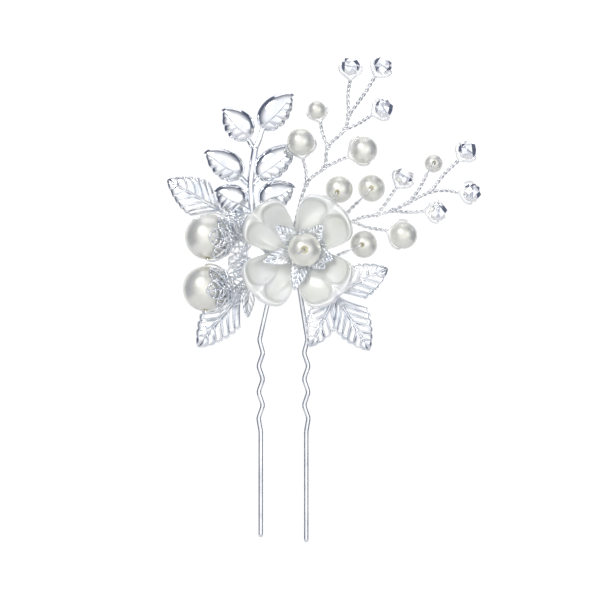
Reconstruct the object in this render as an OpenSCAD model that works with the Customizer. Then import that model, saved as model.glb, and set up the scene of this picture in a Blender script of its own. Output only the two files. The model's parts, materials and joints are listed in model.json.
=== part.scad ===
/* [Hair pin] */
// Diameter of the pin wire
pin_wire_d = 1.1; // [0.9:0.1:1.2]
// Distance between the two prongs, centre to centre
prong_spacing = 10; // [9:0.5:12]
// Length of the straight part of the longer prong
prong_straight_l = 24.4; // [16:0.4:32]
// How much shorter the left prong is
prong_difference = 1.1; // [0:0.1:3]
// How far each crimp swings from the middle line
crimp_swing = 0.5; // [0.2:0.1:0.6]
// Length of one crimp from bend to bend
crimp_step = 2.87; // [2.6:0.01:3.2]

/* [Flower] */
// Reach of a petal from the flower's centre
petal_reach = 13.2; // [12:0.2:13.4]
// Reach of the notch between two petals
petal_notch = 6; // [5:0.2:7]
// Height of the petal rim over the flower's middle
petal_rise = 6.2; // [4.5:0.1:6.6]
// Thickness of the petals
petal_t = 1.1; // [0.8:0.1:1.3]
// Diameter of the pearl in the middle of the flower
centre_pearl_d = 7.2; // [6.4:0.2:7.4]

/* [Beads] */
// Diameter of the two large pearls
large_pearl_d = 10; // [9:0.2:10.2]
// Diameter of the pearls on the sprays
spray_pearl_d = 6; // [5:0.2:6.2]
// Diameter of the smallest pearls
small_pearl_d = 4; // [3.4:0.2:4.6]
// Diameter of the faceted crystals
crystal_d = 4.4; // [3.8:0.2:4.8]
// Number of facets round a crystal
crystal_facets = 8; // [6:2:12]

/* [Wire and leaves] */
// Diameter of one strand of the beading wire
strand_d = 0.4; // [0.3:0.05:0.4]
// Diameter of a stem of two strands twisted together
twist_d = 0.8; // [0.6:0.05:0.8]
// Thickness of the stamped leaves
leaf_t = 0.45; // [0.35:0.05:0.6]
// Number of teeth along each edge of a serrated leaf
leaf_teeth = 8; // [5:1:10]

/* [Hidden] */
$fn = 40;

// Directions: the ornament faces -Y, the prongs point down
front = [0, -1, 0];
strand_r = strand_d / 2;
twist_r = twist_d / 2;
pin_r = pin_wire_d / 2;

// Clearances: beads run on their strand, other moving faces stay well apart
bore_play = 0.05;
hug_gap = 0.3;
knuckle_gap = 0.05;

// How far a straight wire reaches into a bend, and how much thicker the bend is
lap = 0.04;
thicker = 0.015;

// Pin: shoulder at the top of the crimps, apex where the two legs would meet
half_spacing = prong_spacing / 2;
crimp_turns = 6;
shoulder_out = 0.3;
apex = [0.92, 0, 27.4];
crown_bend_r = 0.8;
leg_pivot_z = 10;
crimp_bend_r = 1.6;

// Flower: middle of the four petals and the hole that its wire passes through
flower_y = -3.4;
flower_mid = [3.0, flower_y, 19.3];
flower_hole = [4.6, flower_y, 19.7];
hole_r = 0.5;
petal_flat = 0.3;
petal_count = 4;
rim_start = 0.86;
rim_roll = 1.3;
petal_lip = 1.1;
crease_depth = 0.8;
crease_width = 5;
grid_around = 96;
grid_out = 11;

// Centre pearl stands on its seat ring
seat_r = 2.6;
seat_tube_r = 0.35;
seat_gap = 0.2;
centre_pearl_r = centre_pearl_d / 2;
centre_pearl_lift = 1.3 + centre_pearl_r;
centre_pearl_c = flower_hole + centre_pearl_lift * front;

// Large pearls and the point where their wires are twisted
large_c = [[-16.5, -5, 22.6], [-17.0, -5, 11.3]];
large_stem = [-1, 0, 0];
large_bore = [0, 0.34, 0.94];
large_gap = 0.75;
large_reach = 2.6;
cap_gap = 0.3;
cap_t = 0.35;

// Spray beads: centres
pearl_c = [
  [3.8, -5.2, 43.3],
  [17.6, -4.6, 41.6],
  [12.2, -4.6, 33.0],
  [19.3, -3.0, 33.3],
  [26.3, -3.4, 23.0],
  [17.6, -3.6, 21.0]
];
small_c = [[7.3, -3.6, 50.4], [32.9, -3.0, 38.7]];
crystal_c = [
  [14.7, -4.6, 59.9],
  [21.7, -3.2, 60.1],
  [22.0, -3.0, 50.7],
  [26.4, -5.0, 35.8],
  [40.3, -3.4, 41.6],
  [41.3, -2.4, 32.3],
  [33.8, -4.8, 28.1]
];

// Upper spray: root, pivot of the bend and the forks of its stem
upper_root = [1.7, -1.5, 21.6];
upper_pivot = [2.2, -1.6, 24.2];
upper_fork = [
  [5.0, -2.6, 34.1],
  [8.9, -3.2, 37.8],
  [9.7, -3.4, 42.2],
  [13.4, -3.5, 46.1],
  [14.3, -3.5, 49.3]
];

// Right spray: root, pivot of the bend and the forks of its stem
right_root = [3.2, -1.4, 17.2];
right_pivot = [6.4, -1.6, 19.6];
right_base = [15.1, -2.6, 26.0];
right_bend = [23.9, -3.5, 28.4];
right_end = [32.3, -3.5, 32.6];
right_fork = [mix(right_base, right_bend, 0.62), right_bend, mix(right_bend, right_end, 0.42), right_end];

// Short stems that come out from behind the petals: where each one bends
inner_root = [[2.0, -1.5, 20.6], [2.6, -1.5, 19.4], [4.6, -1.7, 14.4]];
inner_knee = [[8.6, -2.4, 27.2], [13.6, -2.6, 27.4], [12.6, -2.6, 19.0]];

function unit(v) = v / norm(v);
function dir(p, i) = unit(p[i + 1] - p[i]);
function turn(p, k) = acos(min(1, max(-1, dir(p, k - 1) * dir(p, k))));
function trim(p, f, k) = k < 1 || k > len(p) - 2 ? 0 : f * tan(turn(p, k) / 2);
function mix(a, b, t) = a + (b - a) * t;
function square_to(v, s) = unit(v - (v * s) * s);

// Axes x, y and z and an origin as a matrix
function axes(x, y, z, o) = [
  [x[0], y[0], z[0], o[0]],
  [x[1], y[1], z[1], o[1]],
  [x[2], y[2], z[2], o[2]],
  [0, 0, 0, 1]
];

// Puts a piece drawn along +X with its face up at base, so that it points at tip and faces face
module place(base, tip, face = front) {
  x = unit(tip - base);
  z = square_to(face, x);
  multmatrix(axes(x, cross(z, x), z, base)) children();
}

// Round rod between two points
module rod(a, b, r) {
  z = unit(b - a);
  x = square_to(abs(z[0]) < 0.9 ? [1, 0, 0] : [0, 1, 0], z);
  multmatrix(axes(x, cross(z, x), z, a)) cylinder(r = r, h = norm(b - a));
}

// Round bend: starts at start, turns by angle about axis round centre
module bend(centre, start, axis, angle, r) {
  x = unit(start - centre);
  multmatrix(axes(x, cross(axis, x), axis, centre))
    rotate_extrude(angle = angle)
      translate([norm(start - centre), 0])
        circle(r = r);
}

// Straight i of a path, cut back for the bends of radius fa before and fb after it.
// Straights reach a little into the bends, which are a trace thicker.
module straight(p, i, r, fa, fb) {
  d = dir(p, i);
  ta = trim(p, fa, i);
  tb = trim(p, fb, i + 1);
  rod(p[i] + d * (ta > 0 ? ta - lap : 0), p[i + 1] - d * (tb > 0 ? tb - lap : 0), r);
}

// Bend of radius f at inner point k of a path
module corner(p, k, r, f) {
  start = p[k] - dir(p, k - 1) * trim(p, f, k);
  inward = square_to(dir(p, k), dir(p, k - 1));
  axis = unit(cross(dir(p, k - 1), dir(p, k)));
  bend(start + inward * f, start, axis, turn(p, k), r + thicker);
}

// Wire through points p, with bends of radius f at the inner points
module wire(p, r, f) {
  n = len(p);
  for (i = [0 : n - 2]) straight(p, i, r, f, f);
  for (k = [1 : n - 2]) corner(p, k, r, f);
}

// Closed wire through four points, with bends of radius f
module closed_wire(p, r, f) {
  round = concat(p, [p[0], p[1]]);
  for (i = [1 : 4]) {
    corner(round, i, r, f);
    d = dir(round, i - 1);
    a = round[i - 1];
    b = round[i];
    t = f * tan(45) - lap;
    rod(a + d * t, b - d * t, r);
  }
}

// Domed end of a wire
module dome(at, along, r) {
  x = square_to([0, 1, 0], along);
  multmatrix(axes(x, cross(along, x), along, at))
    rotate_extrude()
      intersection() {
        circle(r = r);
        square(r);
      }
}

// ---- pin ----

function shoulder(side) = [side * (half_spacing + shoulder_out), 0, 0];
function leg_pivot(side) = mix(shoulder(side), apex, leg_pivot_z / apex[2]);
function crimp_x(k) = half_spacing + (k % 2 == 1 ? -crimp_swing : crimp_swing);
function leg_path(side, short) = concat(
  [leg_pivot(side), shoulder(side)],
  [for (k = [1 : crimp_turns]) [side * crimp_x(k), 0, -k * crimp_step]],
  [[side * half_spacing, 0, -(crimp_turns + 1) * crimp_step]],
  [[side * half_spacing, 0, short - (crimp_turns + 1) * crimp_step - prong_straight_l + pin_r]]
);

module pin_leg(side, short) {
  p = leg_path(side, short);
  wire(p, pin_r, crimp_bend_r);
  sphere_at(p[0], pin_r + 0.02);
  dome(p[len(p) - 1], [0, 0, -1], pin_r);
}

module sphere_at(c, r) {
  translate(c) sphere(r = r);
}

module pin_crown() {
  gap = pin_r + 0.02 + knuckle_gap;
  left = leg_pivot(-1) + unit(apex - leg_pivot(-1)) * gap;
  right = leg_pivot(1) + unit(apex - leg_pivot(1)) * gap;
  color("silver") wire([left, apex, right], pin_r, crown_bend_r);
}

module pin_leg_left() {
  color("silver") pin_leg(-1, prong_difference);
}

module pin_leg_right() {
  color("silver") pin_leg(1, 0);
}

// Binding: turns of strand round one leg of the crown, from height z0 to z1
binding_r = 1.4;
binding_pitch = 0.38;
binding_y = -0.62;

module binding(side, z0, z1) {
  along = unit(apex - leg_pivot(side));
  base = mix(leg_pivot(side), apex, (z0 - leg_pivot_z) / (apex[2] - leg_pivot_z));
  turns = floor((z1 - z0) / binding_pitch);
  multmatrix(axes(cross([0, 1, 0], along), [0, 1, 0], along, base + [0, binding_y, 0]))
    for (i = [0 : turns])
      translate([0, 0, i * binding_pitch])
        rotate_extrude()
          translate([binding_r, 0])
            circle(r = strand_r + 0.02);
}

module binding_left() {
  color("gainsboro") binding(-1, 12, 18.6);
}

module binding_right() {
  color("gainsboro") binding(1, 12, 18);
}

// Oval turns of strand round both legs, just under the crown's bend
module binding_crown() {
  turns = 4;
  z0 = 20.4;
  back = pin_r + strand_r + 0.02;
  color("gainsboro")
    for (i = [0 : turns - 1]) {
      z = z0 + i * binding_pitch;
      left = mix(shoulder(-1), apex, z / apex[2])[0] - back;
      right = mix(shoulder(1), apex, z / apex[2])[0] + back;
      closed_wire([[left, -2.1, z], [right, -2.1, z], [right, back, z], [left, back, z]],
        strand_r, 0.9);
    }
}

// ---- flower ----

// Angle from the nearest petal's middle line, as -1 to 1 between two notches
function petal_turn(a) = let (w = 360 / petal_count) ((a + 720) % w - w / 2) / (w / 2);
function petal_r(a) =
  petal_notch + (petal_reach - petal_notch) * pow(1 - pow(abs(petal_turn(a)), 6), 2.4);

// Height of the petals over the flower's middle, at share u of the way out
function petal_h(r, a, u) = let (s = petal_turn(a))
  max(petal_flat, petal_rise * pow(r / 12, 2))
  - rim_roll * pow(max(0, (u - rim_start) / (1 - rim_start)), 2)
  + petal_lip * pow(abs(s), 4) * u
  - crease_depth * exp(-pow(s * 45 / crease_width, 2)) * max(0, u - 0.5) * 2;

function petal_point(a, u, down) = let (
  e = [cos(a), 0, sin(a)],
  p = mix(flower_hole + hole_r * e, flower_mid + petal_r(a) * e, u),
  q = p - flower_mid
) p + front * (petal_h(norm(q), atan2(q[2], q[0]), u) - down);

// Share of the way out for ring j of the grid: finer at the rim
function ring_share(j) = sin(90 * j / grid_out);

module flower_petals() {
  n = grid_around;
  m = grid_out + 1;
  top = [for (j = [0 : m - 1]) for (i = [0 : n - 1]) petal_point(i * 360 / n, ring_share(j), 0)];
  under = [for (j = [0 : m - 1]) for (i = [0 : n - 1])
    petal_point(i * 360 / n, ring_share(j), petal_t * (1 - 0.35 * pow(ring_share(j), 8)))];
  half = n * m;
  faces = concat(
    [for (j = [0 : m - 2]) for (i = [0 : n - 1]) for (t = [0, 1]) let (
      a = j * n + i,
      b = j * n + (i + 1) % n
    ) t == 0 ? [a, b, b + n] : [a, b + n, a + n]],
    [for (j = [0 : m - 2]) for (i = [0 : n - 1]) for (t = [0, 1]) let (
      a = half + j * n + i,
      b = half + j * n + (i + 1) % n
    ) t == 0 ? [a, b + n, b] : [a, a + n, b + n]],
    [for (i = [0 : n - 1]) for (t = [0, 1]) let (
      a = i,
      b = (i + 1) % n
    ) t == 0 ? [a, half + b, b] : [a, half + a, half + b]],
    [for (i = [0 : n - 1]) for (t = [0, 1]) let (
      a = (m - 1) * n + i,
      b = (m - 1) * n + (i + 1) % n
    ) t == 0 ? [a, b, half + b] : [a, half + b, half + a]]
  );
  color("ivory") polyhedron(points = concat(top, under), faces = faces);
}

// Pointed oval of length l and width w, from the origin along +X
module oval(l, w) {
  r = (l * l + w * w) / (4 * w);
  intersection() {
    translate([l / 2, r - w / 2]) circle(r = r, $fn = 160);
    translate([l / 2, w / 2 - r]) circle(r = r, $fn = 160);
  }
}

// Five little veined leaves round the pearl, on one hub
module stamen_leaf_cap() {
  hub = flower_hole + front * (petal_flat + 0.5);
  color("silver")
    multmatrix(axes([1, 0, 0], [0, 0, 1], front, hub)) {
      difference() {
        cylinder(r = 2.1, h = 0.4);
        translate([0, 0, -1]) cylinder(r = hole_r, h = 3);
      }
      for (a = [63, 130, 199, 257, 329])
        rotate([0, 0, a])
          translate([1.45, 0, 0.02])
            rotate([0, -35, 0]) {
              linear_extrude(height = 0.35) oval(5.8, 3.2);
              translate([0.3, 0, 0.3]) rotate([0, 90, 0]) cylinder(r = 0.18, h = 4.6);
              for (s = [-1, 1], x = [1.3, 2.3, 3.3])
                translate([x, 0, 0.32])
                  rotate([0, 90, s * 40])
                    cylinder(r = 0.13, h = 1.1);
            }
    }
}

// Grains of metal in a ring that carries the centre pearl
module pearl_seat_ring() {
  drop = sqrt(pow(centre_pearl_r + seat_gap + seat_tube_r, 2) - seat_r * seat_r);
  grains = 16;
  color("gainsboro")
    multmatrix(axes([1, 0, 0], [0, 0, 1], front, centre_pearl_c - front * drop)) {
      rotate_extrude() translate([seat_r, 0]) circle(r = seat_tube_r);
      for (i = [0 : grains - 1])
        rotate([0, 0, i * 360 / grains])
          translate([seat_r + 0.42, 0, 0.1])
            sphere(r = 0.3);
    }
}

// ---- beads ----

// Pearl turned about its bore along b, with a wider mouth at each end of the bore
module pearl(c, d, b, mouth = 0.6) {
  x = square_to([0.3, 0.2, 0.9], b);
  run = strand_r + bore_play;
  lip = 0.7;
  color("ivory")
    multmatrix(axes(x, cross(b, x), b, c))
      rotate_extrude($fn = 64)
        difference() {
          circle(d = d, $fn = 64);
          translate([-d, -d]) square([d + run, d * 2]);
          for (s = [-1, 1])
            scale([1, s])
              polygon([[0, d / 2 - lip], [run, d / 2 - lip], [mouth, d / 2], [mouth, d], [0, d]]);
        }
}

module crystal(c, d, b) {
  x = square_to([0.3, 0.2, 0.9], b);
  color("lightsteelblue", 0.6)
    difference() {
      multmatrix(axes(x, cross(b, x), b, c)) sphere(d = d, $fn = crystal_facets);
      rod(c - b * d, c + b * d, strand_r + bore_play);
    }
}

// Strand that leaves the twist, hugs the bead, passes its bore and comes back.
// It lies in the plane of stem direction s and bore direction b.
module bead_loop(c, d, s, b, gap, reach) {
  h = d / 2 + gap + strand_r;
  far = d / 2 + reach;
  k = h * tan(asin(h / far) / 2);
  hug = 0.7 * h;
  tight = 0.3;
  p = [
    c - s * far, c - s * k + b * h, c + b * h,
    c - b * h, c - s * k - b * h, c - s * far
  ];
  f = [0, hug, tight, tight, hug, 0];
  for (i = [0 : 4]) straight(p, i, strand_r, f[i], f[i + 1]);
  for (k = [1 : 4]) corner(p, k, strand_r, f[k]);
  knuckle(c - s * far);
}

// Direction of a bead's bore: square to its stem, to the front or across
function bore_front(s) = square_to([0, 1, 0], s);
function bore_across(s) = cross(s, bore_front(s));
reach = 1.3;

// Twisted twig from a fork to a bead, with the bead's loop
module twig(from, c, d, b) {
  s = unit(c - from);
  rod(from, c - s * (d / 2 + reach), twist_r);
  bead_loop(c, d, s, b, hug_gap, reach);
}

function dir_to(from, c) = unit(c - from);

// Fork and bore direction of every bead on the sprays
pearl_from = [
  upper_fork[0], upper_fork[1], inner_knee[0], inner_knee[1], right_base, inner_knee[2]
];
pearl_b = [
  bore_across(dir_to(pearl_from[0], pearl_c[0])),
  bore_across(dir_to(pearl_from[1], pearl_c[1])),
  bore_front(dir_to(pearl_from[2], pearl_c[2])),
  bore_front(dir_to(pearl_from[3], pearl_c[3])),
  bore_across(dir_to(pearl_from[4], pearl_c[4])),
  bore_front(dir_to(pearl_from[5], pearl_c[5]))
];
small_from = [upper_fork[2], right_fork[2]];
small_b = [
  bore_across(dir_to(small_from[0], small_c[0])),
  bore_front(dir_to(small_from[1], small_c[1]))
];
crystal_from = [
  upper_fork[4], upper_fork[4], upper_fork[3],
  right_fork[0], right_fork[3], right_fork[3], right_fork[1]
];
crystal_b = [for (i = [0 : 6]) bore_across(dir_to(crystal_from[i], crystal_c[i]))];

module spray_pearl(i) {
  pearl(pearl_c[i], spray_pearl_d, pearl_b[i]);
}

module small_pearl(i) {
  pearl(small_c[i], small_pearl_d, small_b[i], 0.5);
}

module spray_crystal(i) {
  crystal(crystal_c[i], crystal_d, crystal_b[i]);
}

// Stem of a spray: straight twists between forks, with a round knuckle at each
module stem(p) {
  for (i = [0 : len(p) - 2]) rod(p[i], p[i + 1], twist_r);
  for (i = [0 : len(p) - 1]) knuckle(p[i]);
}

// Round knuckle where rods meet, turned so that no rod leaves through its pole
module knuckle(c) {
  translate(c) rotate([38, 27, 0]) sphere(r = twist_r + 0.14);
}

// Piece of a stem from the binding to just before the pivot
module root(from, pivot) {
  s = unit(pivot - from);
  rod(from, pivot - s * (twist_r + 0.14 + knuckle_gap), twist_r);
}

module spray_upper_root() {
  color("silver") root(upper_root, upper_pivot);
}

module spray_right_root() {
  color("silver") root(right_root, right_pivot);
}

module spray_upper_wire() {
  color("silver") {
    stem(concat([upper_pivot], upper_fork));
    twig(pearl_from[0], pearl_c[0], spray_pearl_d, pearl_b[0]);
    twig(pearl_from[1], pearl_c[1], spray_pearl_d, pearl_b[1]);
    twig(small_from[0], small_c[0], small_pearl_d, small_b[0]);
    for (i = [0 : 2]) twig(crystal_from[i], crystal_c[i], crystal_d, crystal_b[i]);
  }
}

module spray_right_wire() {
  color("silver") {
    stem([right_pivot, right_base, right_bend, right_end]);
    knuckle(right_fork[0]);
    knuckle(right_fork[2]);
    twig(pearl_from[4], pearl_c[4], spray_pearl_d, pearl_b[4]);
    twig(small_from[1], small_c[1], small_pearl_d, small_b[1]);
    for (i = [3 : 6]) twig(crystal_from[i], crystal_c[i], crystal_d, crystal_b[i]);
  }
}

// Short stem with one pearl: i counts the stems, k its pearl
module short_stem(i, k) {
  color("silver") {
    rod(inner_root[i], inner_knee[i], twist_r);
    knuckle(inner_knee[i]);
    twig(inner_knee[i], pearl_c[k], spray_pearl_d, pearl_b[k]);
  }
}

// ---- large pearls, their caps and wires ----

large_b = square_to(large_bore, large_stem);

module large_pearl(i) {
  pearl(large_c[i], large_pearl_d, large_b, 0.8);
}

// Six openwork petals of sheet, bent over a ball of radius r, opening along +Z
module cap_petals(r, t, reach_r, petals = 6) {
  intersection() {
    difference() {
      sphere(r = r + t, $fn = 64);
      sphere(r = r, $fn = 64);
    }
    linear_extrude(height = r * 2)
      difference() {
        union() {
          circle(r = reach_r * 0.42);
          for (i = [0 : petals - 1]) rotate(i * 360 / petals) oval(reach_r, reach_r * 0.66);
        }
        circle(r = twist_r + 0.1);
        for (i = [0 : petals - 1])
          rotate(i * 360 / petals)
            translate([reach_r * 0.42, 0])
              oval(reach_r * 0.4, reach_r * 0.2);
      }
  }
}

module bead_cap(i) {
  r = large_pearl_d / 2 + cap_gap;
  color("silver")
    multmatrix(axes([0, 0, -1], [0, -1, 0], -large_stem, large_c[i]))
      rotate(30)
        cap_petals(r, cap_t, 4.1);
}

module large_wire(i, end) {
  far = large_c[i] - large_stem * (large_pearl_d / 2 + large_reach);
  color("silver") {
    bead_loop(large_c[i], large_pearl_d, large_stem, large_b, large_gap, large_reach);
    rod(far, end, twist_r);
  }
}

module bead_cap_upper() {
  bead_cap(0);
}

module bead_cap_lower() {
  bead_cap(1);
}

module large_pearl_wire_upper() {
  large_wire(0, [-1.6, -1.3, 18.0]);
}

module large_pearl_wire_lower() {
  large_wire(1, [-2.4, -1.3, 14.9]);
}

// Cupped openwork flower of sheet between the large pearls and the petals
module filigree_left() {
  c = [-9.8, -2.9, 25.8];
  color("silver") {
    multmatrix(axes([1, 0, 0], [0, 0, 1], front, c - front * 5.4))
      cap_petals(5.4, cap_t, 3, 5);
    rod(c + front * 0.1, [-1.7, -1.3, 16.6], strand_r);
  }
}

// ---- leaves ----

function leaf_half(u, w) = w / 2 * pow(max(0, sin(180 * pow(u, 0.8))), 0.75);

// Serrated outline with its base at the origin and its tip at [l, 0]
module serrated(l, w, teeth) {
  n = teeth * 2;
  edge = [for (i = [1 : n - 1]) let (u = i / n)
    [l * (u + (i % 2 == 0 ? 0.25 : 0) / n), leaf_half(u, w) * (i % 2 == 0 ? 1.06 : 0.86)]];
  polygon(concat(
    [[0, 0.3]], edge, [[l, 0]],
    [for (i = [len(edge) - 1 : -1 : 0]) [edge[i][0], -edge[i][1]]],
    [[0, -0.3]]
  ));
}

// A bowed sheet of length l passes through the origin and [l, 0, 0]: middle of its ball
function ball_mid(l, r, bow) = [l / 2, 0, bow * sqrt(r * r - l * l / 4)];

// Point of the sheet over [x, y], as a direction from the ball's middle
function on_ball(l, r, bow, x, y) =
  unit([x - l / 2, y, -bow * sqrt(r * r - pow(x - l / 2, 2) - y * y)]);

// Sheet bent over a ball of radius r; bow 1 is hollow to the front, -1 is domed
module bowed(l, r, t, bow) {
  rise = r - abs(ball_mid(l, r, bow)[2]);
  intersection() {
    translate(ball_mid(l, r, bow))
      difference() {
        sphere(r = r + t / 2, $fn = 96);
        sphere(r = r - t / 2, $fn = 96);
      }
    translate([0, 0, bow > 0 ? -rise - t : -t]) linear_extrude(height = rise + 2 * t) children();
  }
}

// Rib along the bowed sheet from [x, y] to [x2, y2]
module rib(l, r, bow, from, to, rib_r) {
  a = on_ball(l, r, bow, from[0], from[1]);
  b = on_ball(l, r, bow, to[0], to[1]);
  c = ball_mid(l, r, bow);
  bend(c, c + a * r, unit(cross(a, b)), acos(a * b), rib_r);
}

module veined_leaf(l, w, r, bow, teeth, pairs) {
  bowed(l, r, leaf_t, bow) serrated(l, w, teeth);
  rib(l, r, bow, [0.3, 0], [l * 0.94, 0], 0.34);
  for (k = [1 : pairs], s = [-1, 1]) {
    u = 0.1 + 0.68 * k / pairs;
    rib(l, r, bow, [l * (u - 0.05), 0], [l * (u + 0.12), s * 0.78 * leaf_half(u + 0.1, w)], 0.24);
  }
}

module leaf_upper_left() {
  base = [-13.5, 0.5, 28.2];
  color("silver") {
    place(base, [-25.6, -0.8, 35.2]) veined_leaf(14, 8, 16, -1, leaf_teeth, 5);
    rod(base + [-0.6, 0, 0.35], [-2.05, 0.1, 19.2], 0.4);
  }
}

// Lower left leaf: one half is sheet with veins, the other half is pierced
module leaf_lower_left() {
  base = [-8.9, 0.8, 11.0];
  l = 16;
  w = 8.6;
  r = 20;
  color("silver") {
    place(base, [-18.8, 0.4, -1.5]) {
      bowed(l, r, leaf_t, -1)
        difference() {
          serrated(l, w, leaf_teeth);
          for (k = [1 : 5])
            translate([l * (0.04 + 0.13 * k), 0.55])
              rotate(48)
                oval(0.62 * leaf_half(0.12 + 0.13 * k, w), 1.15);
        }
      rib(l, r, -1, [0.3, 0], [l * 0.94, 0], 0.36);
      for (k = [1 : 5]) {
        u = 0.1 + 0.13 * k;
        rib(l, r, -1, [l * (u - 0.05), 0], [l * (u + 0.1), -0.78 * leaf_half(u + 0.08, w)], 0.24);
      }
    }
    rod(base + [-0.4, 0, -0.5], [-2.9, -1.4, 13.2], 0.4);
  }
}

module leaf_narrow_left() {
  base = [-7.0, -3.4, 12.0];
  color("silver") {
    place(base, [-7.9, -3.9, 4.9], [0.35, -1, 0]) {
      bowed(7, 9, leaf_t, 1) oval(7, 2.6);
      rib(7, 9, 1, [0.3, 0], [6.4, 0], 0.3);
    }
    rod(base + [0, 0, -0.5], [-3.1, -1.6, 12.2], 0.35);
  }
}

// One pierced leaflet: scalloped rim, ribs and a slot between each two ribs
module pierced_leaflet(l, w, r) {
  pairs = 6;
  bowed(l, r, leaf_t, -1)
    difference() {
      serrated(l, w, 7);
      for (k = [0 : pairs - 1], s = [-1, 1])
        translate([l * (0.07 + 0.12 * k), s * 0.5])
          rotate(s * 46)
            oval(0.02 + 0.98 * leaf_half(0.16 + 0.12 * k, w), 0.95);
    }
  rib(l, r, -1, [0.2, 0], [l * 0.95, 0], 0.38);
}

module leaf_trio_right() {
  hub = [11.3, -1.8, 10.3];
  color("silver") {
    place(hub, [23.0, -2.6, 15.8]) pierced_leaflet(12.9, 7.2, 18);
    place(hub, [18.8, -2.2, -2.4], [-0.1, -1, 0.1]) pierced_leaflet(14.7, 8, 20);
    place(hub, [5.8, -2.2, -1.5], [0.15, -1, 0]) pierced_leaflet(13, 6.8, 18);
    translate(hub + [0, -0.1, 0]) sphere(r = 1.1);
    rod(hub, [3.6, -1.5, 12.6], 0.5);
  }
}

// ---- cast branch with six cupped buds ----

// Each bud: middle of its root on the stem, and its tip
bud_root = [
  [-7.6, -1.7, 43.9], [-4.6, -1.6, 46.2], [-9.2, -1.7, 35.6],
  [-5.6, -1.6, 35.4], [-8.6, -1.7, 29.0], [-5.0, -1.6, 29.4]
];
bud_tip = [
  [-13.3, -2.4, 50.8], [2.1, -2.2, 54.1], [-17.3, -2.4, 41.4],
  [2.8, -1.7, 42.7], [-15.1, -1.7, 33.0], [2.5, -1.7, 33.9]
];
bud_w = 6;
bud_r = 6.4;

module bud(root_at, tip_at, side) {
  l = norm(tip_at - root_at);
  place(root_at, tip_at, [side * 0.2, -1, 0.1]) {
    bowed(l, bud_r, leaf_t, 1) oval(l, bud_w);
    rib(l, bud_r, 1, [0.3, 0], [l - 0.3, 0], 0.36);
    for (k = [1 : 4])
      rib(l, bud_r, 1, [l * (0.12 + 0.13 * k), 0], [l * (0.22 + 0.13 * k), side * 1.75], 0.26);
  }
}

module leaf_branch() {
  low = [-6.6, -1.9, 27.6];
  fork = [-6.2, -2.0, 42.0];
  color("silver") {
    wire([[-0.9, -1.5, 21.2], [-5.0, -1.9, 23.6], low, [-7.2, -2.0, 34.5], fork], 0.85, 2);
    knuckle_big(fork, 0.95);
    for (i = [0, 1]) rod(fork, bud_root[i], 0.6);
    for (i = [0 : 5]) translate(bud_root[i]) sphere(r = 0.66);
    for (i = [2, 3]) rod([-7.15, -2.0, 34.0], bud_root[i], 0.6);
    for (i = [4, 5]) rod([-6.6, -1.95, 28.0], bud_root[i], 0.6);
    for (i = [0 : 5]) bud(bud_root[i], bud_tip[i], i % 2 == 0 ? 1 : -1);
  }
}

module knuckle_big(c, r) {
  translate(c) sphere(r = r);
}

// ---- wire through the flower ----

module centre_wire() {
  front_end = centre_pearl_c + front * (centre_pearl_r + 0.5);
  color("dimgray") {
    wire([
      [2.45, -0.8, 18.6], flower_hole + [0, 1.6, 0], front_end, front_end + [-1.3, -0.3, -0.9]
    ], strand_r, 0.3);
  }
}

module centre_pearl() {
  pearl(centre_pearl_c, centre_pearl_d, [0, 1, 0], 0.9);
}

module large_pearl_upper() {
  large_pearl(0);
}

module large_pearl_lower() {
  large_pearl(1);
}

pin_crown();
pin_leg_left();
pin_leg_right();
binding_left();
binding_right();
binding_crown();
flower_petals();
stamen_leaf_cap();
pearl_seat_ring();
centre_pearl();
centre_wire();
leaf_upper_left();
leaf_lower_left();
leaf_narrow_left();
leaf_trio_right();
leaf_branch();
large_pearl_upper();
large_pearl_lower();
bead_cap_upper();
bead_cap_lower();
large_pearl_wire_upper();
large_pearl_wire_lower();
filigree_left();
spray_upper_root();
spray_upper_wire();
spray_right_root();
spray_right_wire();
short_stem(0, 2);  // stem_pearl_3
short_stem(1, 3);  // stem_pearl_4
short_stem(2, 5);  // stem_pearl_6
spray_pearl(0);  // spray_pearl_1
spray_pearl(1);  // spray_pearl_2
spray_pearl(2);  // spray_pearl_3
spray_pearl(3);  // spray_pearl_4
spray_pearl(4);  // spray_pearl_5
spray_pearl(5);  // spray_pearl_6
small_pearl(0);  // small_pearl_1
small_pearl(1);  // small_pearl_2
spray_crystal(0);  // crystal_1
spray_crystal(1);  // crystal_2
spray_crystal(2);  // crystal_3
spray_crystal(3);  // crystal_4
spray_crystal(4);  // crystal_5
spray_crystal(5);  // crystal_6
spray_crystal(6);  // crystal_7
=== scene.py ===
"""Looks of a flower hair pin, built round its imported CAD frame.

Lengths are in millimetres until MM is applied. +X is right, +Z is up and the ornament faces -Y.
"""

import json
import math

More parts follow.
